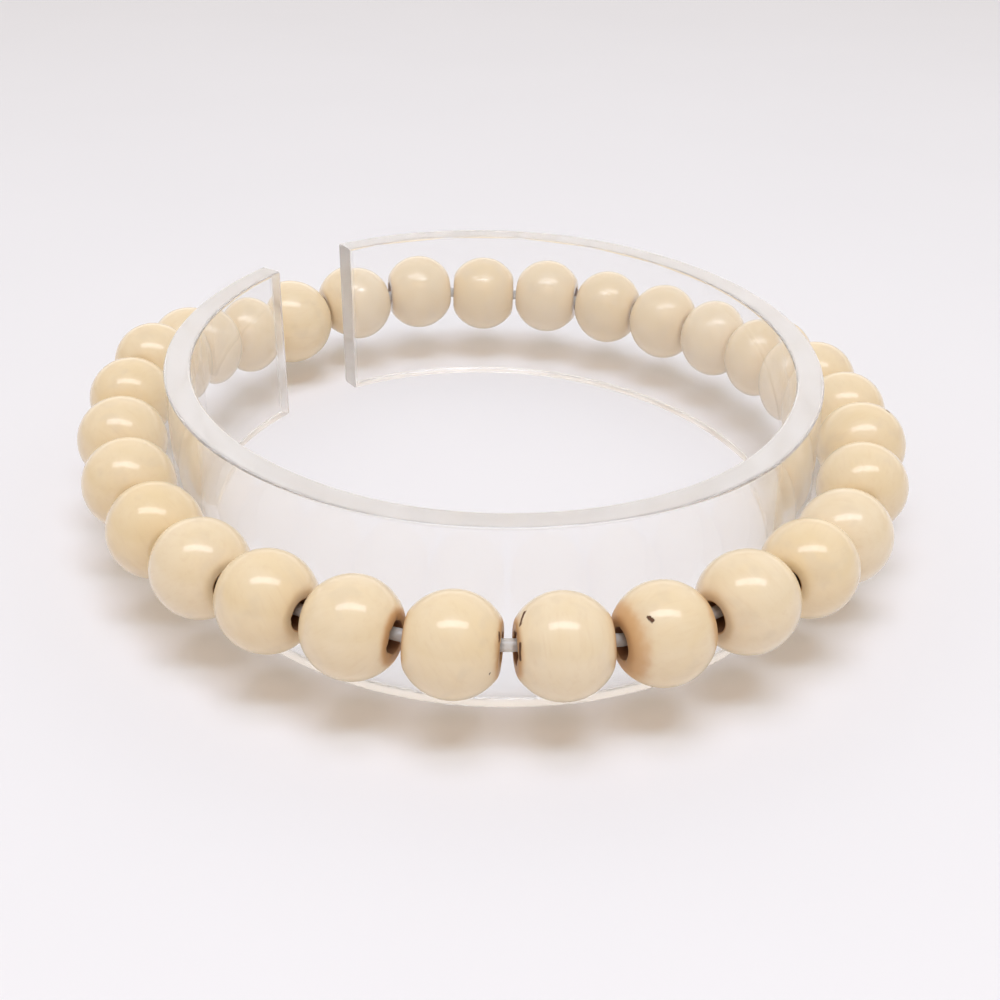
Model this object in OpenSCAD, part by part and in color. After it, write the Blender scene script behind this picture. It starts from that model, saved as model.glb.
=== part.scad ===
// A bracelet of drilled wooden beads on clear elastic, stretched round a clear C-shaped display ring.
// Millimetres, +Z up. The origin is the middle of the ring, on the surface that it stands on.
// -Y is the front, where the string has its widest gap. The ring's own gap is at the back left.

/* [Beads] */
// Length of a bead between its flat ends, as a share of its diameter
length_share = 0.874; // [0.85:0.002:0.88]
// Diameter of the hole that is drilled along each bead
hole_diameter = 2.4; // [1.8:0.1:2.8]
// Height of the middle of the string above the surface
string_height = 8.5; // [7:0.1:10]
// Diameter of the widest bead that lies on the wall of the display ring
seated_diameter = 8.2; // [8.2:0.05:8.4]
// Space between that bead and the wall
ring_clearance = 0.1; // [0.1:0.01:0.3]
// Extra width of the front gap, where the elastic shows
front_gap_extra = 0.3; // [0:0.1:0.8]
// How far the front gap is slid to the right of the ring's front-most point
string_slide = 0.3; // [-3:0.1:3]

/* [Elastic] */
// Diameter of the elastic
elastic_diameter = 1; // [0.6:0.1:1]
// Space between the taut elastic and the inner side of each hole
elastic_clearance = 0.3; // [0.3:0.05:0.4]

/* [Display ring] */
// Outer size of the oval ring along its short axis
ring_short = 59.1; // [59:0.1:60]
// Outer size of the oval ring along its long axis
ring_long = 65.8; // [65:0.1:68]
// Height of the ring
ring_height = 16.3; // [14:0.1:20]
// Thickness of the ring's wall
ring_wall = 2.4; // [1.6:0.1:3]
// Turn of the oval's long axis away from the front-to-back line
ring_turn = 12.7; // [-20:0.1:20]
// Width of the opening in the ring, between its two ends
opening_width = 10; // [6:0.5:12]
// Direction of the opening, from the oval's short axis
opening_direction = 123; // [110:1:140]

/* [Hidden] */
$fn = 64;

// One row for each bead, from the right of the front gap round by the right, the back and the left
DIAMETER = 0;
LIFT = 1;
beads = [
    [8.20, 0.2],
    [8.10, 0.0],
    [8.20, 0.4],
    [8.05, 0.2],
    [8.10, -0.6],
    [7.95, 0.2],
    [8.10, 0.4],
    [7.75, 0.2],
    [8.05, 0.0],
    [8.00, -0.4],
    [8.05, -0.8],
    [8.10, -1.1],
    [8.00, -1.1],
    [8.10, -0.9],
    [8.20, -1.0],
    [8.15, -0.5],
    [8.00, -0.9],
    [9.10, -1.6],
    [8.00, -0.4],
    [7.90, 1.0],
    [7.70, 2.3],
    [7.80, 1.8],
    [8.00, 1.2],
    [8.10, 0.7],
    [8.15, 0.1],
    [8.20, 0.2],
    [8.15, 0.4],
    [8.05, 0.5],
    [8.20, 0.3],
];
bead_count = len(beads);

// The oval is four quarter arcs, two of the end radius and two of the side radius, that meet smoothly
arc_shift = (ring_long - ring_short) / 2 / (2 - sqrt(2));
end_radius = ring_long / 2 - arc_shift;
side_radius = ring_short / 2 + arc_shift;

// The middle line of the string is the same oval, half a bead outside the ring
loop_offset = seated_diameter / 2 + ring_clearance;
loop_end_radius = end_radius + loop_offset;
loop_side_radius = side_radius + loop_offset;
end_arc = loop_end_radius * PI / 2;
side_arc = loop_side_radius * PI / 2;
half_loop = end_arc + side_arc;
all_lengths = sum_of([for (i = [1 : bead_count]) bead_length(i)]);
bead_gap = (2 * half_loop - all_lengths - front_gap_extra) / bead_count;
front_run = loop_end_radius * (45 - ring_turn) * PI / 180 + string_slide;

// The elastic runs straight in each bead, over this share of the bead's length
straight_share = 0.9;
elastic_sides = 10;
// Being taut, it lies off the middle of each hole, towards the inside of the loop
elastic_shift = (hole_diameter - elastic_diameter) / 2 - elastic_clearance;

// The ring runs round from one side of its opening to the other
opening_angle = opening_width / (end_radius - ring_wall / 2) * 180 / PI;
ring_start = opening_direction + opening_angle / 2;
ring_sweep = 360 - opening_angle;
ring_steps = 108;

function bead_name(i) = str("bead_", i < 10 ? "0" : "", i);

function sum_of(values, i = 0) = i == len(values) ? 0 : values[i] + sum_of(values, i + 1);
function unit(v) = v / norm(v);
function around(i) = (i - 1 + bead_count) % bead_count + 1;
function turned(p, angle) = [p.x * cos(angle) - p.y * sin(angle), p.x * sin(angle) + p.y * cos(angle)];
function bead_diameter(i) = beads[i - 1][DIAMETER];
function bead_length(i) = length_share * bead_diameter(i);

// Distance along the string from the middle of the front gap to the middle of a bead
function bead_run(i) = i == 1
    ? (front_gap_extra + bead_gap + bead_length(1)) / 2
    : bead_run(i - 1) + bead_gap + (bead_length(i - 1) + bead_length(i)) / 2;

// The point of the oval whose outward side faces a direction, a given offset outside the ring
function oval_point(direction, offset) = let (
    quarter = floor((direction + 45) / 90),
    radius = quarter % 2 == 0 ? side_radius : end_radius,
    centre = turned([-arc_shift, 0], -90 * quarter)
) turned(centre + (radius + offset) * turned([1, 0], direction), ring_turn);

// The direction that the middle line faces, a given run from the start of its front arc
function loop_direction(run) = run >= half_loop
    ? 180 + loop_direction(run - half_loop)
    : run < end_arc ? -135 + run / end_arc * 90 : -45 + (run - end_arc) / side_arc * 90;

// The point of the middle line a given distance from the middle of the front gap
function loop_at(distance) =
    oval_point(loop_direction((front_run + distance) % (2 * half_loop)), loop_offset);

function bead_centre(i) = let (point = loop_at(bead_run(i)))
    [point.x, point.y, string_height + beads[i - 1][LIFT]];

// A bead lies along the line between its two neighbours
function bead_axis(i) = unit(bead_centre(around(i + 1)) - bead_centre(around(i - 1)));

// Two points of the elastic in each bead
elastic_path = [
    for (i = [1 : bead_count], side = [-1, 1])
        let (inward = unit(cross([0, 0, 1], bead_axis(i))))
        bead_centre(i) + side * straight_share / 2 * bead_length(i) * bead_axis(i)
            + elastic_shift * inward
];

// One ring of corners of the elastic's tube round the point k of its path
function elastic_corners(k) = let (
    count = len(elastic_path),
    along = unit(elastic_path[(k + 1) % count] - elastic_path[(k + count - 1) % count]),
    across = unit(cross(along, [0, 0, 1])),
    upward = cross(across, along)
) [
    for (corner = [0 : elastic_sides - 1])
        let (angle = corner * 360 / elastic_sides)
        elastic_path[k] + elastic_diameter / 2 * (cos(angle) * across + sin(angle) * upward)
];

// Half of a bead's section: its round side, its flat ends and the wall of its hole
module bead_section(diameter, length) {
    intersection() {
        circle(d = diameter);
        translate([hole_diameter / 2, -length / 2])
            square([diameter, length]);
    }
}

module bead(i) {
    axis = bead_axis(i);
    color("#F3DFBC")
        translate(bead_centre(i))
            rotate([0, 90 - asin(axis.z), atan2(axis.y, axis.x)])
                rotate_extrude()
                    bead_section(bead_diameter(i), bead_length(i));
}

// A closed tube that is swept along the elastic's path
module elastic_cord() {
    count = len(elastic_path);
    corners = [for (k = [0 : count - 1]) each elastic_corners(k)];
    strips = [
        for (k = [0 : count - 1], corner = [0 : elastic_sides - 1])
            let (
                here = k * elastic_sides,
                there = (k + 1) % count * elastic_sides,
                next = (corner + 1) % elastic_sides
            )
            each [
                [here + corner, there + corner, there + next],
                [here + corner, there + next, here + next],
            ]
    ];
    color("#F4F2EA", 0.8)
        polyhedron(points = corners, faces = strips);
}

// The points of one side of the ring's wall, a given depth inside its outer face
function wall_side(depth) = [
    for (k = [0 : ring_steps]) oval_point(ring_start + k / ring_steps * ring_sweep, -depth)
];

module display_ring() {
    outer = wall_side(0);
    inner = wall_side(ring_wall);
    color("#E6EAE8", 0.35)
        linear_extrude(ring_height)
            polygon([each outer, for (k = [ring_steps : -1 : 0]) inner[k]]);
}

for (i = [1 : bead_count])
    bead(i);
elastic_cord();
display_ring();
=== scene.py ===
# Lacquered wooden beads on clear elastic, stretched round a clear C-shaped display ring
import math

import bpy
from mathutils import Matrix, Vector


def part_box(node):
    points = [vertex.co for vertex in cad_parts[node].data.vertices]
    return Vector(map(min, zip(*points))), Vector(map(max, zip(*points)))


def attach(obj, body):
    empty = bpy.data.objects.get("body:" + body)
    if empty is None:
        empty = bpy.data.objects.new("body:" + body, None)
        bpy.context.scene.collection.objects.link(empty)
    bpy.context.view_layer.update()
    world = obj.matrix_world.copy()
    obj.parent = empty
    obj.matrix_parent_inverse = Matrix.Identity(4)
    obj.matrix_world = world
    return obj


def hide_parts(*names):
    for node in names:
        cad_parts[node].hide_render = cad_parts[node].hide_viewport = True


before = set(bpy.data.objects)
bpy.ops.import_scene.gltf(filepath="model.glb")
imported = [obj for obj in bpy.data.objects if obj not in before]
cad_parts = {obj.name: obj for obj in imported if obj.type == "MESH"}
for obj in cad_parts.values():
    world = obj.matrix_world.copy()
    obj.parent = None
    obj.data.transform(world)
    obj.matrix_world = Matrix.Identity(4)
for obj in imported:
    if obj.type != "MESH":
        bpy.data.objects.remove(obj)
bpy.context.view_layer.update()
mm = 0.001
scene = bpy.context.scene
print("stage: frame loaded,", len(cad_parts), "nodes")


# Small helpers

def hexToLinear(code):
    # a colour's hex code as linear light, by the sRGB curve
    values = [int(code[i:i + 2], 16) / 255 for i in (1, 3, 5)]
    return [v / 12.92 if v <= 0.04045 else ((v + 0.055) / 1.055) ** 2.4 for v in values] + [1.0]


def fillNode(tree, node, links):
    # links fills inputs by place or name, with a node or an output to join, or a value to set
    for place, value in links.items():
        if isinstance(place, int):
            socket = node.inputs[place]
        else:
            socket = next(s for s in node.inputs if s.enabled and s.name == place)
        if isinstance(value, bpy.types.Node):
            value = next(s for s in value.outputs if s.enabled)
        if isinstance(value, bpy.types.NodeSocket):
            tree.links.new(value, socket)
        else:
            socket.default_value = value


def addNode(tree, kind, links=None, **settings):
    node = tree.nodes.new(kind)
    for name, value in settings.items():
        setattr(node, name, value)
    fillNode(tree, node, links or {})
    return node


def newGeometryTree(name, inputs):
    # inputs gives each input's socket type by name; returns the tree and its inputs' sockets by name
    tree = bpy.data.node_groups.new(name, "GeometryNodeTree")
    tree.is_modifier = True
    tree.interface.new_socket("Geometry", in_out="INPUT", socket_type="NodeSocketGeometry")
    for label, kind in inputs.items():
        tree.interface.new_socket(label, in_out="INPUT", socket_type="NodeSocket" + kind)
    tree.interface.new_socket("Geometry", in_out="OUTPUT", socket_type="NodeSocketGeometry")
    group = tree.nodes.new("NodeGroupInput")
    return tree, {socket.name: socket for socket in group.outputs if socket.name}


def endTree(tree, geometry, material):
    real = addNode(tree, "GeometryNodeRealizeInstances", {"Geometry": geometry})
    smooth = addNode(tree, "GeometryNodeSetShadeSmooth", {"Geometry": real})
    painted = addNode(tree, "GeometryNodeSetMaterial", {"Geometry": smooth, "Material": material})
    addNode(tree, "NodeGroupOutput", {"Geometry": painted})


def newPath(name, points, closed):
    curve = bpy.data.curves.new(name, "CURVE")
    curve.dimensions = "3D"
    spline = curve.splines.new("POLY")
    spline.points.add(len(points) - 1)
    for point, place in zip(spline.points, points):
        point.co = (*place, 1.0)
    spline.use_cyclic_u = closed
    return curve


def growPiece(name, tree, path, values):
    # runs a tree on a path and keeps the result as a plain mesh at the origin
    carrier = bpy.data.objects.new(name + "Carrier", path)
    scene.collection.objects.link(carrier)
    modifier = carrier.modifiers.new(tree.name, "NODES")
    modifier.node_group = tree
    sockets = {item.name: item.identifier for item in tree.interface.items_tree if item.in_out == "INPUT"}
    for label, value in values.items():
        modifier[sockets[label]] = value
    depsgraph = bpy.context.evaluated_depsgraph_get()
    mesh = bpy.data.meshes.new_from_object(carrier.evaluated_get(depsgraph), depsgraph=depsgraph)
    mesh.name = name
    carrier.modifiers.clear()
    bpy.data.objects.remove(carrier)
    piece = bpy.data.objects.new(name, mesh)
    scene.collection.objects.link(piece)
    return piece


def newMaterial(name):
    material = bpy.data.materials.new(name)
    material.use_nodes = True
    tree = material.node_tree
    return material, tree, tree.nodes["Principled BSDF"]


# Camera, at the photograph's angle

photoCamera = {
    "focalPixels": 1494.9,
    "pictureWidth": 1000,       # pixels
    "sensorWidth": 36,          # mm of film, which Blender's lens length goes by
    "elevation": 29.17,         # degrees above the floor
    "roll": 0.43,               # degrees
    "distance": 144.73 * mm,
    "aimRight": 0.87 * mm,
    "aimHeight": 0.42 * mm,
    "shiftY": -0.001,
    "clipStart": 5 * mm,
}


def addCamera(view):
    data = bpy.data.cameras.new("photoCamera")
    data.sensor_width = view["sensorWidth"]
    data.lens = view["focalPixels"] / view["pictureWidth"] * view["sensorWidth"]
    data.shift_y = view["shiftY"]
    data.clip_start = view["clipStart"]
    camera = bpy.data.objects.new("photoCamera", data)
    tilt = math.radians(view["elevation"])
    away = Vector((0, -math.cos(tilt), math.sin(tilt)))
    camera.location = Vector((view["aimRight"], 0, view["aimHeight"])) + view["distance"] * away
    upright = Matrix.Rotation(math.radians(90) - tilt, 4, "X")
    rolled = upright @ Matrix.Rotation(math.radians(view["roll"]), 4, "Z")
    camera.rotation_euler = rolled.to_euler()
    scene.collection.objects.link(camera)
    scene.camera = camera


addCamera(photoCamera)
print("stage: camera")


# Lacquered bleached hardwood, turned and drilled: an ivory body with a soft mottle and faint grain
# under a clear gloss coat, which shows the lamps small and sharp; raw brown wood shows in the hole

woodFinish = {
    "cream": "#F0DDBB",
    "straw": "#EDD4A6",
    "bloom": "#E0CCAC",         # greyish patches that the bleaching left
    "tan": "#DCBB90",           # grain lines
    "stain": "#CC985C",
    "rawHole": "#A8764C",
    "rawDark": "#6E4428",
    "mark": "#5C3A24",
    "mottleSize": 3.0,          # mm
    "bloomSize": 2.4,           # mm
    "bloomShift": (31.0, 7.0, 12.0),        # mm, so that bloom and mottle don't fall together
    "bloomWeight": 0.4,
    "grainSize": 0.45,          # mm between grain lines
    "grainDraw": 0.12,          # width of a grain line over its length
    "grainWeight": 0.22,
    "raggedNoise": 0.9,         # waves per mm
    "raggedShare": 0.07,        # how far the stain's edge strays, over its width
    "stainWeight": 0.75,
    "rawReach": 0.1,            # mm of bare wood round the hole
    "tearing": 0.5,             # mm that a whole swing of the grain's noise moves a mark's edge
    "bodyRoughness": 0.5,
    "bareRoughness": 0.8,
    "lacquerRoughness": 0.12,
    "ior": 1.5,
    "specular": 0.8,
    "reliefNoise": 0.9,         # waves per mm
    "reliefStrength": 0.2,
    "reliefDepth": 0.05 * mm,
}


def makeLacqueredWood(finish):
    material, tree, shader = newMaterial("lacqueredIvoryWood")
    place = addNode(tree, "ShaderNodeAttribute", attribute_name="beadPlace").outputs["Vector"]
    tone = addNode(tree, "ShaderNodeAttribute", attribute_name="beadTone").outputs["Fac"]
    fromHole = addNode(tree, "ShaderNodeAttribute", attribute_name="fromHole").outputs["Fac"]
    stainWidth = addNode(tree, "ShaderNodeAttribute", attribute_name="stainWidth").outputs["Fac"]
    fromMark = addNode(tree, "ShaderNodeAttribute", attribute_name="fromMark").outputs["Fac"]

    # body colour: a slow mottle with greyish patches, then grain lines along the bead's own wood
    mottle = addNode(tree, "ShaderNodeTexNoise", {
        "Vector": place, "Scale": 1 / finish["mottleSize"], "Detail": 3.0, "Roughness": 0.55})
    toned = addNode(tree, "ShaderNodeMath", {0: mottle, 1: tone}, operation="ADD")
    mottleMask = addNode(tree, "ShaderNodeMapRange", {"Value": toned, "From Min": 0.6, "From Max": 1.4})
    body = addNode(tree, "ShaderNodeMix", {
        "Factor": mottleMask, "A": hexToLinear(finish["cream"]), "B": hexToLinear(finish["straw"])
    }, data_type="RGBA")
    further = addNode(tree, "ShaderNodeMapping", {"Vector": place, "Location": finish["bloomShift"]})
    bloom = addNode(tree, "ShaderNodeTexNoise", {
        "Vector": further, "Scale": 1 / finish["bloomSize"], "Detail": 2.0, "Roughness": 0.5})
    bloomMask = addNode(tree, "ShaderNodeMapRange", {
        "Value": bloom, "From Min": 0.52, "From Max": 0.72, "To Max": finish["bloomWeight"]
    }, interpolation_type="SMOOTHSTEP")
    bloomed = addNode(tree, "ShaderNodeMix", {
        "Factor": bloomMask, "A": body, "B": hexToLinear(finish["bloom"])}, data_type="RGBA")
    drawn = addNode(tree, "ShaderNodeMapping", {"Vector": place, "Scale": (1.0, 1.0, finish["grainDraw"])})
    grain = addNode(tree, "ShaderNodeTexNoise", {
        "Vector": drawn, "Scale": 1 / finish["grainSize"], "Detail": 4.0, "Roughness": 0.6,
        "Distortion": 0.4})
    grainMask = addNode(tree, "ShaderNodeMapRange", {
        "Value": grain, "From Min": 0.5, "From Max": 0.8, "To Max": finish["grainWeight"]})
    grained = addNode(tree, "ShaderNodeMix", {
        "Factor": grainMask, "A": bloomed, "B": hexToLinear(finish["tan"])}, data_type="RGBA")

    # stain that the drill left round the hole, with a ragged outer edge
    ragged = addNode(tree, "ShaderNodeTexNoise", {
        "Vector": place, "Scale": finish["raggedNoise"], "Detail": 2.0, "Roughness": 0.5})
    raggedShift = addNode(tree, "ShaderNodeMapRange", {
        "Value": ragged, "From Min": 0.3, "From Max": 0.7,
        "To Min": -finish["raggedShare"], "To Max": finish["raggedShare"]})
    stainWay = addNode(tree, "ShaderNodeMath", {0: fromHole, 1: stainWidth}, operation="DIVIDE")
    stainEdge = addNode(tree, "ShaderNodeMath", {0: stainWay, 1: raggedShift}, operation="ADD")
    stainMask = addNode(tree, "ShaderNodeMapRange", {
        "Value": stainEdge, "From Min": 1.1, "From Max": 0.6, "To Max": finish["stainWeight"]
    }, interpolation_type="SMOOTHSTEP")
    stained = addNode(tree, "ShaderNodeMix", {
        "Factor": stainMask, "A": grained, "B": hexToLinear(finish["stain"])}, data_type="RGBA")
    rawMask = addNode(tree, "ShaderNodeMapRange", {
        "Value": fromHole, "From Min": finish["rawReach"], "From Max": 0.02}, interpolation_type="SMOOTHSTEP")
    rawTone = addNode(tree, "ShaderNodeMix", {
        "Factor": ragged, "A": hexToLinear(finish["rawDark"]), "B": hexToLinear(finish["rawHole"])
    }, data_type="RGBA")
    drilled = addNode(tree, "ShaderNodeMix", {
        "Factor": rawMask, "A": stained, "B": rawTone}, data_type="RGBA")

    # dark pores and splits that some beads have, torn along the grain
    torn = addNode(tree, "ShaderNodeMath", {
        0: grain, 1: finish["tearing"], 2: fromMark}, operation="MULTIPLY_ADD")
    markMask = addNode(tree, "ShaderNodeMapRange", {
        "Value": torn, "From Min": 0.3, "From Max": 0.2}, interpolation_type="SMOOTHSTEP")
    marked = addNode(tree, "ShaderNodeMix", {
        "Factor": markMask, "A": drilled, "B": hexToLinear(finish["mark"])}, data_type="RGBA")

    # no lacquer where the wood is bare, and little on the stain
    opened = addNode(tree, "ShaderNodeMath", {0: rawMask, 1: markMask}, operation="MAXIMUM")
    bare = addNode(tree, "ShaderNodeMath", {0: opened, 1: stainMask}, operation="MAXIMUM")
    roughness = addNode(tree, "ShaderNodeMapRange", {
        "Value": bare, "To Min": finish["bodyRoughness"], "To Max": finish["bareRoughness"]})
    coat = addNode(tree, "ShaderNodeMath", {0: 1.0, 1: bare}, operation="SUBTRACT")
    relief = addNode(tree, "ShaderNodeTexNoise", {
        "Vector": place, "Scale": finish["reliefNoise"], "Detail": 2.0})
    bump = addNode(tree, "ShaderNodeBump", {
        "Height": relief, "Strength": finish["reliefStrength"], "Distance": finish["reliefDepth"]})
    fillNode(tree, shader, {
        "Base Color": marked, "Roughness": roughness, "IOR": finish["ior"],
        "Specular IOR Level": finish["specular"], "Coat Weight": coat,
        "Coat Roughness": finish["lacquerRoughness"], "Coat IOR": finish["ior"],
        "Normal": bump, "Coat Normal": bump})
    return material


# Clear stretch cord, extruded polyurethane: milky where light gathers in it, with a soft gloss

elasticFinish = {
    "clear": "#FFFEFA",
    "milky": "#FFF9EE",
    "clearness": 0.5,
    "roughness": 0.25,
    "ior": 1.5,
    "hazeSize": 0.8 * mm,
}


def makeClearElastic(finish):
    material, tree, shader = newMaterial("clearStretchCord")
    place = addNode(tree, "ShaderNodeTexCoord").outputs["Object"]
    haze = addNode(tree, "ShaderNodeTexNoise", {
        "Vector": place, "Scale": 1 / finish["hazeSize"], "Detail": 2.0})
    tint = addNode(tree, "ShaderNodeMix", {
        "Factor": haze, "A": hexToLinear(finish["clear"]), "B": hexToLinear(finish["milky"])
    }, data_type="RGBA")
    fillNode(tree, shader, {
        "Base Color": tint, "Roughness": finish["roughness"], "IOR": finish["ior"],
        "Transmission Weight": finish["clearness"]})
    return material


# Clear cast acrylic, polished on its faces and left satin where it was cut: the wall shows only a few
# faint reflections, and its rim and ends read as milky bands; lamps, and the soft light on matt
# things, come straight through it, with a little lost at each face

acrylicFinish = {
    "tint": "#FFFFFF",
    "cutTint": "#F5F4F3",
    "lampTint": "#FBFBFB",
    "clearness": 0.99,          # the rest is a milky haze
    "cutClearness": 0.62,
    "roughness": 0.04,
    "polishSpread": 0.5,        # how far the roughness strays either way, over itself
    "cutRoughness": 0.14,
    "ior": 1.49,
    "hazeSize": 6 * mm,
}


def makeClearAcrylic(finish):
    material, tree, shader = newMaterial("clearCastAcrylic")
    place = addNode(tree, "ShaderNodeTexCoord").outputs["Object"]
    haze = addNode(tree, "ShaderNodeTexNoise", {
        "Vector": place, "Scale": 1 / finish["hazeSize"], "Detail": 3.0})
    polish = addNode(tree, "ShaderNodeMapRange", {
        "Value": haze, "From Min": 0.35, "From Max": 0.75,
        "To Min": finish["roughness"] * (1 - finish["polishSpread"]),
        "To Max": finish["roughness"] * (1 + finish["polishSpread"])})
    fillNode(tree, shader, {
        "Base Color": hexToLinear(finish["tint"]), "Roughness": polish, "IOR": finish["ior"],
        "Transmission Weight": finish["clearness"]})
    sawn = addNode(tree, "ShaderNodeBsdfPrincipled", {
        "Base Color": hexToLinear(finish["cutTint"]), "Roughness": finish["cutRoughness"],
        "IOR": finish["ior"], "Transmission Weight": finish["cutClearness"]})
    cut = addNode(tree, "ShaderNodeAttribute", attribute_name="cutEdge").outputs["Fac"]
    faces = addNode(tree, "ShaderNodeMixShader", {0: cut, 1: shader, 2: sawn})
    ray = addNode(tree, "ShaderNodeLightPath")
    through = addNode(tree, "ShaderNodeBsdfTransparent", {"Color": hexToLinear(finish["lampTint"])})
    soft = addNode(tree, "ShaderNodeMixShader", {0: ray.outputs["Is Diffuse Ray"], 1: faces, 2: through})
    lit = addNode(tree, "ShaderNodeMixShader", {0: ray.outputs["Is Shadow Ray"], 1: soft, 2: through})
    fillNode(tree, tree.nodes["Material Output"], {"Surface": lit})
    return material


# Matt white card under the object

cardFinish = {
    "light": "#EFEEF0",
    "dark": "#ECEBED",
    "patchSize": 40 * mm,
    "roughness": 0.8,
    "specular": 0.05,
}


def makeWhiteCard(finish):
    material, tree, shader = newMaterial("mattWhiteCard")
    place = addNode(tree, "ShaderNodeTexCoord").outputs["Object"]
    patches = addNode(tree, "ShaderNodeTexNoise", {
        "Vector": place, "Scale": 1 / finish["patchSize"], "Detail": 2.0})
    tint = addNode(tree, "ShaderNodeMix", {
        "Factor": patches, "A": hexToLinear(finish["light"]), "B": hexToLinear(finish["dark"])
    }, data_type="RGBA")
    fillNode(tree, shader, {
        "Base Color": tint, "Roughness": finish["roughness"], "Specular IOR Level": finish["specular"]})
    return material


lacqueredWood = makeLacqueredWood(woodFinish)
clearElastic = makeClearElastic(elasticFinish)
clearAcrylic = makeClearAcrylic(acrylicFinish)
whiteCard = makeWhiteCard(cardFinish)
print("stage: materials")


# Beads: turned balls with flat ends and a drilled hole, some with a chipped mouth

beadShape = {
    "count": 29,
    "lengthShare": 0.874,       # length between the flat ends over the diameter
    "hole": 2.4 * mm,
    "endRound": 0.35 * mm,      # blend of the round side into the flat end
    "mouthRound": 0.12 * mm,
    "chipReach": 0.5 * mm,      # how far the deepest chips spread from the hole
    "chipDepth": 0.25 * mm,
    "chipNoise": 0.9,           # waves per mm
    "chips": 0.15,              # share of the full chipping, on a bead that isn't in chipsOf
    "chipsOf": {1: 1.0, 2: 0.8, 27: 0.5, 28: 1.0, 29: 0.8},
    "stain": 0.2,               # mm that the brown stain spreads, on a bead that isn't in stainOf
    "stainOf": {1: 1.3, 2: 2.1, 28: 1.2, 29: 1.3},
    "tone": 0.5,                # 0 is cream and 1 is straw, on a bead that isn't in toneOf
    "toneOf": {
        1: 0.3, 2: 0.5, 3: 0.3, 4: 0.7, 5: 0.2, 6: 0.5, 7: 0.6, 8: 0.4, 10: 0.7, 11: 0.3, 13: 0.6,
        14: 0.4, 15: 0.7, 17: 0.2, 18: 0.4, 20: 0.3, 22: 0.7, 24: 0.6, 25: 0.8, 26: 0.3, 27: 0.6, 28: 0.4,
    },
    "sag": 0.05 * mm,           # how far the hand-turned side strays inward
    "sagNoise": 0.22,           # waves per mm
    "seedStep": 17.3,           # mm between the noises of two beads
    "grainAxis": (0.6, 0.8, 0.0),           # each bead's wood is turned about this line by its own angle
    "crowding": 0.35,           # 0 spreads the section's points evenly, more crowds them at the mouths
    "arcPoints": 72,
    "wallPoints": 8,
    "around": 88,
    # pores and splits, from and to: mm along the bead, then degrees up from its outer side; then half
    # of the width in mm
    "marks": {
        1: (((-2.9, 99), (-3.35, 80), 0.12), ((-3.5, 42), (-3.56, 12), 0.2)),
        2: (((-2.2, 62), (-2.05, 56), 0.15),),
        7: (((0.4, 59), (0.4, 57), 0.2),),
        29: (((3.05, -7), (3.05, -8), 0.1), ((3.5, 66), (3.56, 50), 0.16)),
    },
    "noMark": ((0, 0), (0, 1), -9.0),       # so narrow that none shows
}


def softMin(first, second, blend):
    # the smaller of the two, with the corner between them rounded over the blend
    near = max(blend - abs(first - second), 0) / blend
    return min(first, second) - near ** 3 * blend / 6


def beadSection(shape, diameter):
    # half of a cut along the bead's axis: over the round side from end to end, then back along the hole
    radius, half, hole = diameter / 2, diameter * shape["lengthShare"] / 2, shape["hole"] / 2
    mouth = math.acos(hole / radius)
    points = []
    for step in range(shape["arcPoints"]):
        share = 2 * step / (shape["arcPoints"] - 1) - 1
        angle = share * (1 + shape["crowding"] - shape["crowding"] * share ** 2) * mouth
        rise = softMin(radius * math.sin(abs(angle)), half, shape["endRound"])
        points.append((radius * math.cos(angle) - radius, math.copysign(rise, angle), 0))
    for step in range(shape["wallPoints"]):
        points.append((hole - radius, half * (1 - 2 * (step + 1) / (shape["wallPoints"] + 1)), 0))
    return newPath("beadSection", points, True)


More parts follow.
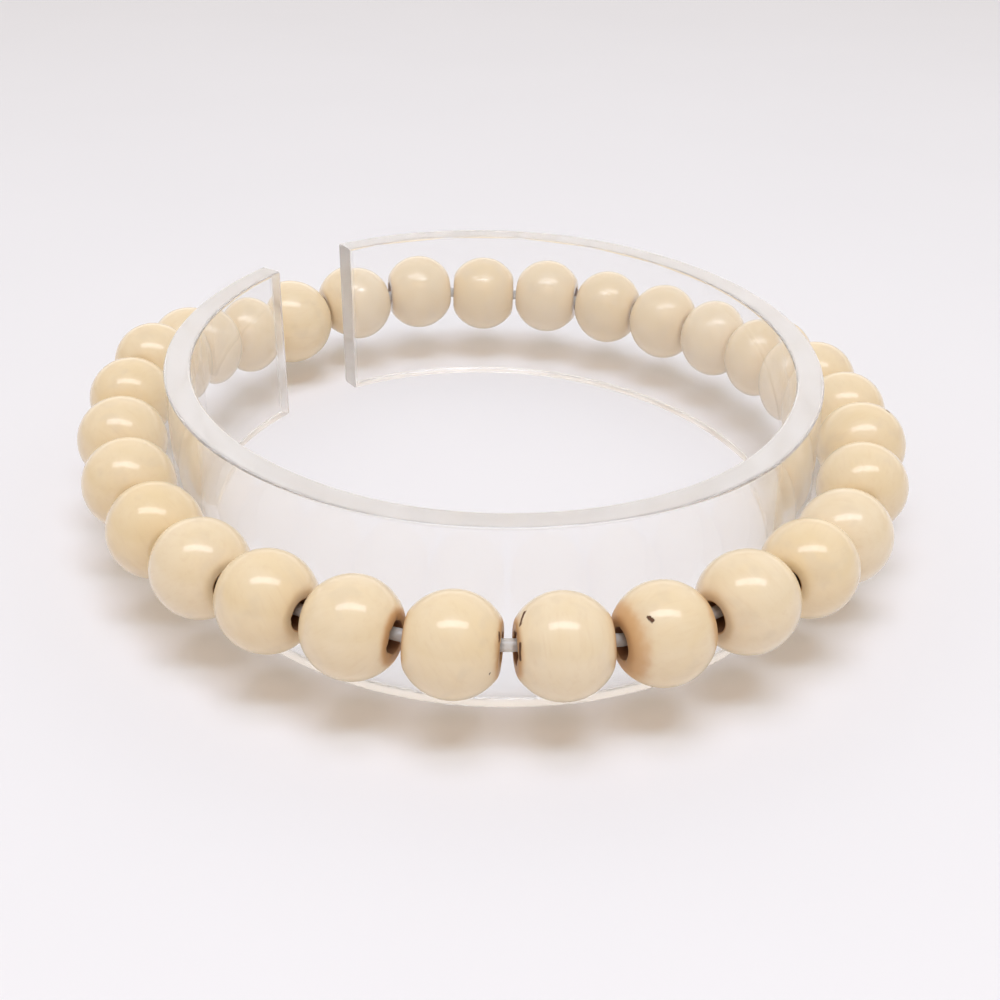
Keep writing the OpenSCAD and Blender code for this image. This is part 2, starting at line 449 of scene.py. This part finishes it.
def makeBeadTree(shape):
    tree, given = newGeometryTree("drilledBead", {
        "Radius": "Float", "Half Length": "Float", "Hole Radius": "Float", "Around": "Int",
        "Mouth Round": "Float", "Chip Reach": "Float", "Chip Depth": "Float", "Chips": "Float",
        "Stain": "Float", "Sag": "Float", "Seed": "Float", "Tone": "Float", "Centre": "Vector",
        "Axis": "Vector", "First Mark From": "Vector", "First Mark To": "Vector",
        "First Mark Width": "Float", "Second Mark From": "Vector", "Second Mark To": "Vector",
        "Second Mark Width": "Float", "Material": "Material",
    })
    rail = addNode(tree, "GeometryNodeCurvePrimitiveCircle", {
        "Resolution": given["Around"], "Radius": given["Radius"]})
    turned = addNode(tree, "GeometryNodeCurveToMesh", {"Curve": rail, "Profile Curve": given["Geometry"]})

    # the bead's own place in millimetres, moved on by the seed so that no two beads share their noises
    position = addNode(tree, "GeometryNodeInputPosition")
    inMillimetres = addNode(tree, "ShaderNodeVectorMath", {0: position, "Scale": 1 / mm}, operation="SCALE")
    seedAlong = addNode(tree, "ShaderNodeMath", {
        0: given["Seed"], 1: shape["seedStep"]}, operation="MULTIPLY")
    seedShift = addNode(tree, "ShaderNodeCombineXYZ", {"X": seedAlong, "Z": given["Seed"]})
    seeded = addNode(tree, "ShaderNodeVectorMath", {0: inMillimetres, 1: seedShift}, operation="ADD")
    flat = addNode(tree, "ShaderNodeVectorMath", {0: position, 1: (1.0, 1.0, 0.0)}, operation="MULTIPLY")
    fromAxis = addNode(tree, "ShaderNodeVectorMath", {0: flat}, operation="LENGTH")
    fromHole = addNode(tree, "ShaderNodeMath", {0: fromAxis, 1: given["Hole Radius"]}, operation="SUBTRACT")
    along = addNode(tree, "ShaderNodeSeparateXYZ", {0: position}).outputs["Z"]
    side = addNode(tree, "ShaderNodeMath", {0: along}, operation="SIGN")

    # the mouth is rounded by a quarter circle, which chips widen and deepen here and there
    chipNoise = addNode(tree, "ShaderNodeTexNoise", {
        "Vector": seeded, "Scale": shape["chipNoise"], "Detail": 2.0, "Roughness": 0.6})
    chipHere = addNode(tree, "ShaderNodeMapRange", {
        "Value": chipNoise, "From Min": 0.5, "From Max": 0.68}, interpolation_type="SMOOTHSTEP")
    chip = addNode(tree, "ShaderNodeMath", {0: chipHere, 1: given["Chips"]}, operation="MULTIPLY")
    reach = addNode(tree, "ShaderNodeMath", {
        0: chip, 1: given["Chip Reach"], 2: given["Mouth Round"]}, operation="MULTIPLY_ADD")
    depth = addNode(tree, "ShaderNodeMath", {
        0: chip, 1: given["Chip Depth"], 2: given["Mouth Round"]}, operation="MULTIPLY_ADD")
    farness = addNode(tree, "ShaderNodeMath", {0: fromHole, 1: reach}, operation="DIVIDE")
    nearness = addNode(tree, "ShaderNodeMath", {
        0: 1.0, 1: farness}, operation="SUBTRACT", use_clamp=True)
    squared = addNode(tree, "ShaderNodeMath", {0: nearness, 1: nearness}, operation="MULTIPLY")
    level = addNode(tree, "ShaderNodeMath", {0: 1.0, 1: squared}, operation="SUBTRACT")
    rise = addNode(tree, "ShaderNodeMath", {0: level}, operation="SQRT")
    fall = addNode(tree, "ShaderNodeMath", {0: rise, 1: 1.0}, operation="SUBTRACT")
    drop = addNode(tree, "ShaderNodeMath", {0: fall, 1: depth}, operation="MULTIPLY")
    towardsEnd = addNode(tree, "ShaderNodeMath", {0: along, 1: given["Half Length"]}, operation="DIVIDE")
    endShare = addNode(tree, "ShaderNodeMath", {0: towardsEnd}, operation="ABSOLUTE")
    nearEnd = addNode(tree, "ShaderNodeMapRange", {"Value": endShare, "From Min": 0.6, "From Max": 0.9})
    sidedDrop = addNode(tree, "ShaderNodeMath", {0: drop, 1: side}, operation="MULTIPLY")
    inward = addNode(tree, "ShaderNodeMath", {0: sidedDrop, 1: nearEnd}, operation="MULTIPLY")
    mouthShift = addNode(tree, "ShaderNodeCombineXYZ", {"Z": inward})
    mouthed = addNode(tree, "GeometryNodeSetPosition", {"Geometry": turned, "Offset": mouthShift})

    # the hand-turned side strays inward, slowly
    slow = addNode(tree, "ShaderNodeTexNoise", {"Vector": seeded, "Scale": shape["sagNoise"], "Detail": 1.0})
    strayDepth = addNode(tree, "ShaderNodeMath", {0: slow, 1: given["Sag"]}, operation="MULTIPLY")
    normal = addNode(tree, "GeometryNodeInputNormal")
    outward = addNode(tree, "ShaderNodeVectorMath", {0: normal, "Scale": strayDepth}, operation="SCALE")
    stray = addNode(tree, "ShaderNodeVectorMath", {0: outward, 1: (-1.0, -1.0, -1.0)}, operation="MULTIPLY")
    shaped = addNode(tree, "GeometryNodeSetPosition", {"Geometry": mouthed, "Offset": stray})

    # what the material reads, lengths in millimetres
    leaned = addNode(tree, "ShaderNodeVectorRotate", {
        "Vector": seeded, "Axis": shape["grainAxis"], "Angle": seedAlong}, rotation_type="AXIS_ANGLE")
    wood = addNode(tree, "GeometryNodeStoreNamedAttribute", {
        "Geometry": shaped, "Name": "beadPlace", "Value": leaned}, data_type="FLOAT_VECTOR")
    holeWay = addNode(tree, "ShaderNodeMath", {0: fromHole, 1: mm}, operation="DIVIDE")
    stored = (("fromHole", holeWay), ("stainWidth", given["Stain"]), ("beadTone", given["Tone"]))
    for name, value in stored:
        wood = addNode(tree, "GeometryNodeStoreNamedAttribute", {
            "Geometry": wood, "Name": name, "Value": value}, data_type="FLOAT")
    turn = addNode(tree, "FunctionNodeAlignRotationToVector", {"Vector": given["Axis"]}, axis="Z")
    placed = addNode(tree, "GeometryNodeTransform", {
        "Geometry": wood, "Translation": given["Centre"], "Rotation": turn})

    # distance to the nearer mark's line, from the point that the surface has once it is in place
    edges = []
    for mark in ("First Mark", "Second Mark"):
        reachOut = addNode(tree, "ShaderNodeVectorMath", {
            0: position, 1: given[mark + " From"]}, operation="SUBTRACT")
        line = addNode(tree, "ShaderNodeVectorMath", {
            0: given[mark + " To"], 1: given[mark + " From"]}, operation="SUBTRACT")
        dotted = addNode(tree, "ShaderNodeVectorMath", {0: reachOut, 1: line}, operation="DOT_PRODUCT")
        length = addNode(tree, "ShaderNodeVectorMath", {0: line, 1: line}, operation="DOT_PRODUCT")
        share = addNode(tree, "ShaderNodeMath", {0: dotted, 1: length}, operation="DIVIDE", use_clamp=True)
        foot = addNode(tree, "ShaderNodeVectorMath", {0: line, "Scale": share}, operation="SCALE")
        way = addNode(tree, "ShaderNodeVectorMath", {0: reachOut, 1: foot}, operation="DISTANCE")
        edge = addNode(tree, "ShaderNodeMath", {0: way, 1: given[mark + " Width"]}, operation="SUBTRACT")
        edges.append(edge)
    nearer = addNode(tree, "ShaderNodeMath", {0: edges[0], 1: edges[1]}, operation="MINIMUM")
    fromMark = addNode(tree, "ShaderNodeMath", {0: nearer, 1: mm}, operation="DIVIDE")
    placed = addNode(tree, "GeometryNodeStoreNamedAttribute", {
        "Geometry": placed, "Name": "fromMark", "Value": fromMark}, data_type="FLOAT")
    endTree(tree, placed, given["Material"])
    return tree


def beadNode(number):
    return "bead_%02d" % ((number - 1) % beadShape["count"] + 1)


def beadDiameter(number):
    # a bead lies nearly level, so its box is as high as it is thick
    low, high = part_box(beadNode(number))
    return high[2] - low[2]


def beadCentre(number):
    low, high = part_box(beadNode(number))
    return (Vector(low) + Vector(high)) / 2


def beadAxis(number):
    # a bead lies along the line between its two neighbours
    return (beadCentre(number + 1) - beadCentre(number - 1)).normalized()


def onBead(number, along, turn):
    # a point of a bead's surface: mm along it, degrees up from the side that faces out of the loop
    axis = beadAxis(number)
    up = (Vector((0, 0, 1)) - axis.z * axis).normalized()
    out = axis.cross(up)
    radius = math.sqrt(max((beadDiameter(number) / 2) ** 2 - (along * mm) ** 2, 0))
    angle = math.radians(turn)
    return beadCentre(number) + along * mm * axis + radius * (math.cos(angle) * out + math.sin(angle) * up)


def addBead(shape, tree, number):
    diameter = beadDiameter(number)
    values = {
        "Radius": diameter / 2,
        "Half Length": diameter * shape["lengthShare"] / 2,
        "Hole Radius": shape["hole"] / 2,
        "Around": shape["around"],
        "Mouth Round": shape["mouthRound"],
        "Chip Reach": shape["chipReach"],
        "Chip Depth": shape["chipDepth"],
        "Chips": shape["chipsOf"].get(number, shape["chips"]),
        "Stain": shape["stainOf"].get(number, shape["stain"]),
        "Sag": shape["sag"],
        "Seed": float(number),
        "Tone": shape["toneOf"].get(number, shape["tone"]),
        "Centre": beadCentre(number),
        "Axis": beadAxis(number),
        "Material": lacqueredWood,
    }
    marks = (*shape["marks"].get(number, ()), shape["noMark"], shape["noMark"])
    for label, (start, end, width) in zip(("First Mark", "Second Mark"), marks):
        values[label + " From"] = onBead(number, *start)
        values[label + " To"] = onBead(number, *end)
        values[label + " Width"] = width * mm
    bead = growPiece("lacqueredBead_%02d" % number, tree, beadSection(shape, diameter), values)
    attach(bead, "root")
    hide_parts(beadNode(number))


beadTree = makeBeadTree(beadShape)
for number in range(1, beadShape["count"] + 1):
    addBead(beadShape, beadTree, number)
print("stage: beads")


# Elastic: one closed strand through all the beads, pulled to the inner side of their holes

elasticShape = {
    "diameter": 1.0 * mm,
    "clearance": 0.3 * mm,      # space left between it and the inner side of the hole
    "straightShare": 0.9,       # of a bead's length, over which it runs straight
    "sides": 20,
    "cuts": 3,                  # extra rings of corners in each run
}


def makeStrandTree(shape):
    tree, given = newGeometryTree("stretchedStrand", {
        "Diameter": "Float", "Sides": "Int", "Material": "Material"})
    radius = addNode(tree, "ShaderNodeMath", {0: given["Diameter"], 1: 0.5}, operation="MULTIPLY")
    ring = addNode(tree, "GeometryNodeCurvePrimitiveCircle", {"Resolution": given["Sides"], "Radius": radius})
    dense = addNode(tree, "GeometryNodeSubdivideCurve", {"Curve": given["Geometry"], "Cuts": shape["cuts"]})
    strand = addNode(tree, "GeometryNodeCurveToMesh", {"Curve": dense, "Profile Curve": ring})
    endTree(tree, strand, given["Material"])
    return tree


def addElastic(shape, beads):
    shift = (beads["hole"] - shape["diameter"]) / 2 - shape["clearance"]
    points = []
    for number in range(1, beads["count"] + 1):
        axis = beadAxis(number)
        middle = beadCentre(number) + shift * Vector((0, 0, 1)).cross(axis).normalized()
        reach = shape["straightShare"] / 2 * beads["lengthShare"] * beadDiameter(number)
        points += [middle - reach * axis, middle + reach * axis]
    elastic = growPiece("clearElasticStrand", makeStrandTree(shape), newPath("strandPath", points, True), {
        "Diameter": shape["diameter"],
        "Sides": shape["sides"],
        "Material": clearElastic,
    })
    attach(elastic, "root")
    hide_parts("elastic_cord")


addElastic(elasticShape, beadShape)
print("stage: elastic")


# Display ring: an oval of four quarter arcs with one opening, bent from clear acrylic

ringShape = {
    "short": 59.1 * mm,         # outside, as is the long one
    "long": 65.8 * mm,
    "height": 16.3 * mm,
    "wall": 2.4 * mm,
    "turn": 12.7,               # degrees, of the long axis away from the front-to-back line
    "opening": 10 * mm,
    "openingDirection": 123,    # degrees from the short axis
    "edgeRound": 0.3 * mm,
    "edgeSteps": 5,             # corners in each rounded edge
    "waver": 0.05 * mm,         # slow unevenness of the bent wall
    "waverSize": 14 * mm,
    "steps": 320,
}


def arcShift(shape):
    # how far the arcs' centres stand from the oval's middle
    return (shape["long"] - shape["short"]) / 2 / (2 - math.sqrt(2))


def ovalPoint(shape, direction, offset):
    # the point of the oval whose outward side faces a direction, an offset outside the ring
    shift = arcShift(shape)
    quarter = math.floor((direction + 45) / 90)
    radius = shape["short"] / 2 + shift if quarter % 2 == 0 else shape["long"] / 2 - shift
    centre = Matrix.Rotation(math.radians(-90 * quarter), 3, "Z") @ Vector((-shift, 0, 0))
    outward = Matrix.Rotation(math.radians(direction), 3, "Z") @ Vector((1, 0, 0))
    return Matrix.Rotation(math.radians(shape["turn"]), 3, "Z") @ (centre + (radius + offset) * outward)


def makeWallTree(shape):
    tree, given = newGeometryTree("formedWall", {
        "Height": "Float", "Wall": "Float", "Edge Round": "Float", "Waver": "Float", "Material": "Material"})
    plate = addNode(tree, "GeometryNodeCurvePrimitiveQuadrilateral", {
        "Width": given["Wall"], "Height": given["Height"]})
    rounded = addNode(tree, "GeometryNodeFilletCurve", {
        "Curve": plate, "Count": shape["edgeSteps"], "Radius": given["Edge Round"]}, mode="POLY")
    atEnd = addNode(tree, "GeometryNodeCurveEndpointSelection")
    marked = addNode(tree, "GeometryNodeStoreNamedAttribute", {
        "Geometry": given["Geometry"], "Name": "wallEnd", "Value": atEnd}, data_type="FLOAT")
    upright = addNode(tree, "GeometryNodeSetCurveNormal", {"Curve": marked}, mode="Z_UP")
    wall = addNode(tree, "GeometryNodeCurveToMesh", {
        "Curve": upright, "Profile Curve": rounded, "Fill Caps": True})
    position = addNode(tree, "GeometryNodeInputPosition")
    slow = addNode(tree, "ShaderNodeTexNoise", {
        "Vector": position, "Scale": 1 / shape["waverSize"], "Detail": 1.0})
    centred = addNode(tree, "ShaderNodeVectorMath", {
        0: slow.outputs["Color"], 1: (0.5, 0.5, 0.5)}, operation="SUBTRACT")
    sideways = addNode(tree, "ShaderNodeVectorMath", {0: centred, 1: (1.0, 1.0, 0.0)}, operation="MULTIPLY")
    scaled = addNode(tree, "ShaderNodeVectorMath", {0: sideways, "Scale": given["Waver"]}, operation="SCALE")
    wavered = addNode(tree, "GeometryNodeSetPosition", {"Geometry": wall, "Offset": scaled})

    # the saw left the rim, the foot and the two ends satin
    normal = addNode(tree, "GeometryNodeInputNormal")
    upward = addNode(tree, "ShaderNodeSeparateXYZ", {0: normal}).outputs["Z"]
    end = addNode(tree, "GeometryNodeInputNamedAttribute", {"Name": "wallEnd"}, data_type="FLOAT")
    level = addNode(tree, "ShaderNodeMath", {0: upward}, operation="ABSOLUTE")
    cut = addNode(tree, "ShaderNodeMath", {0: level, 1: end}, operation="MAXIMUM")
    edged = addNode(tree, "GeometryNodeStoreNamedAttribute", {
        "Geometry": wavered, "Name": "cutEdge", "Value": cut}, data_type="FLOAT", domain="CORNER")
    endTree(tree, edged, given["Material"])
    return tree


def addDisplayRing(shape):
    openingAngle = math.degrees(shape["opening"] / (shape["long"] / 2 - arcShift(shape) - shape["wall"] / 2))
    start = shape["openingDirection"] + openingAngle / 2
    sweep = 360 - openingAngle
    path = []
    for step in range(shape["steps"] + 1):
        point = ovalPoint(shape, start + step / shape["steps"] * sweep, -shape["wall"] / 2)
        path.append(point + Vector((0, 0, shape["height"] / 2)))
    ring = growPiece("clearDisplayRing", makeWallTree(shape), newPath("ringPath", path, False), {
        "Height": shape["height"],
        "Wall": shape["wall"],
        "Edge Round": shape["edgeRound"],
        "Waver": shape["waver"],
        "Material": clearAcrylic,
    })
    weigh = ring.modifiers.new("flatSidesStayFlat", "WEIGHTED_NORMAL")
    weigh.keep_sharp = True
    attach(ring, "root")
    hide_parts("display_ring")


addDisplayRing(ringShape)
print("stage: display ring")


# Floor and light: a sheet of white card in a warm white room, lit by softboxes

studio = {
    "floorSize": 3.0,           # metres
    "floorDrop": 0.02 * mm,     # a breath of air under the ring's foot
    "skyStrength": 0.79,
    "skyLean": 0.5,             # how much brighter it is behind, where the white backdrop stands
    # colours by the sine of the elevation: a warm wall all round, brightest at 30 to 40 degrees
    "sky": (
        (0.0, "#BCAD99"), (0.33, "#E2D7CA"), (0.5, "#F6EADE"), (0.62, "#FDF1E5"), (0.75, "#E5DCD2"),
        (0.9, "#ADABA0"), (1.0, "#999994"),
    ),
    "glassBounces": 40,         # light crosses the wall many times on its way down the ring
    "lampDistance": 0.8,        # metres
}

# azimuth runs from the camera's side to the right; sizes are degrees as seen from the object, and
# power is in watts; inGloss lamps show in reflections, and onMatt lamps light what isn't glossy
lamps = {
    "barSoftbox": {
        "elevation": 76, "azimuth": 0, "wide": 58, "deep": 14, "power": 2.5, "colour": "#F2F6FF",
        "inGloss": True, "onMatt": False,
    },
    "keyFront": {
        "elevation": 67, "azimuth": 0, "wide": 14, "deep": 10, "power": 0.6, "colour": "#CEE2F2",
        "inGloss": False, "onMatt": True,
    },
    "keyRight": {
        "elevation": 65, "azimuth": 35, "wide": 14, "deep": 10, "power": 1.15, "colour": "#CEE2F2",
        "inGloss": False, "onMatt": True,
    },
    "keyLeft": {
        "elevation": 65, "azimuth": -35, "wide": 14, "deep": 10, "power": 0.55, "colour": "#CEE2F2",
        "inGloss": False, "onMatt": True,
    },
    "overhead": {
        "elevation": 80, "azimuth": 0, "wide": 26, "deep": 26, "power": 2.15, "colour": "#E6E8FA",
        "inGloss": False, "onMatt": True,
    },
    "frontFill": {
        "elevation": 45, "azimuth": 0, "wide": 40, "deep": 20, "power": 0.75, "colour": "#FFD0AC",
        "inGloss": False, "onMatt": True,
    },
    "backdrop": {
        "elevation": 10, "azimuth": 180, "wide": 120, "deep": 14, "power": 1.3, "colour": "#FFFFFF",
        "inGloss": True, "onMatt": False,
    },
}


def addLamp(name, settings, distance):
    light = bpy.data.lights.new(name, "AREA")
    light.shape = "RECTANGLE"
    light.size = 2 * distance * math.tan(math.radians(settings["wide"] / 2))
    light.size_y = 2 * distance * math.tan(math.radians(settings["deep"] / 2))
    light.energy = settings["power"]
    light.color = hexToLinear(settings["colour"])[:3]
    rise, turn = math.radians(settings["elevation"]), math.radians(settings["azimuth"])
    towards = Vector((math.cos(rise) * math.sin(turn), -math.cos(rise) * math.cos(turn), math.sin(rise)))
    lamp = bpy.data.objects.new(name, light)
    lamp.location = distance * towards
    lamp.rotation_euler = towards.to_track_quat("Z", "Y").to_euler()
    lamp.visible_glossy = settings["inGloss"]
    lamp.visible_diffuse = settings["onMatt"]
    scene.collection.objects.link(lamp)


def addStudio(room):
    half, drop = room["floorSize"] / 2, -room["floorDrop"]
    corners = [(-half, -half, drop), (half, -half, drop), (half, half, drop), (-half, half, drop)]
    mesh = bpy.data.meshes.new("studioFloor")
    mesh.from_pydata(corners, [], [(0, 1, 2, 3)])
    mesh.materials.append(whiteCard)
    floor = bpy.data.objects.new("studioFloor", mesh)
    scene.collection.objects.link(floor)

    world = bpy.data.worlds.new("studioSky")
    world.use_nodes = True
    sky = world.node_tree
    towards = addNode(sky, "ShaderNodeTexCoord").outputs["Generated"]
    parts = addNode(sky, "ShaderNodeSeparateXYZ", {0: towards})
    shade = addNode(sky, "ShaderNodeValToRGB", {0: parts.outputs["Z"]})
    stops = shade.color_ramp.elements
    for step, (place, colour) in enumerate(room["sky"]):
        # the ramp starts with two stops of its own
        stop = stops[step] if step < 2 else stops.new(place)
        stop.position = place
        stop.color = hexToLinear(colour)
    strength = addNode(sky, "ShaderNodeMath", {
        0: parts.outputs["Y"], 1: room["skyLean"] * room["skyStrength"], 2: room["skyStrength"]
    }, operation="MULTIPLY_ADD")
    fillNode(sky, sky.nodes["Background"], {"Color": shade, "Strength": strength})
    scene.world = world
    scene.view_settings.view_transform = "Standard"
    scene.cycles.max_bounces = room["glassBounces"]
    scene.cycles.transmission_bounces = room["glassBounces"]
    scene.cycles.glossy_bounces = room["glassBounces"]


addStudio(studio)
for name, lamp in lamps.items():
    addLamp(name, lamp, studio["lampDistance"])
print("stage: floor and light")

bpy.context.view_layer.update()
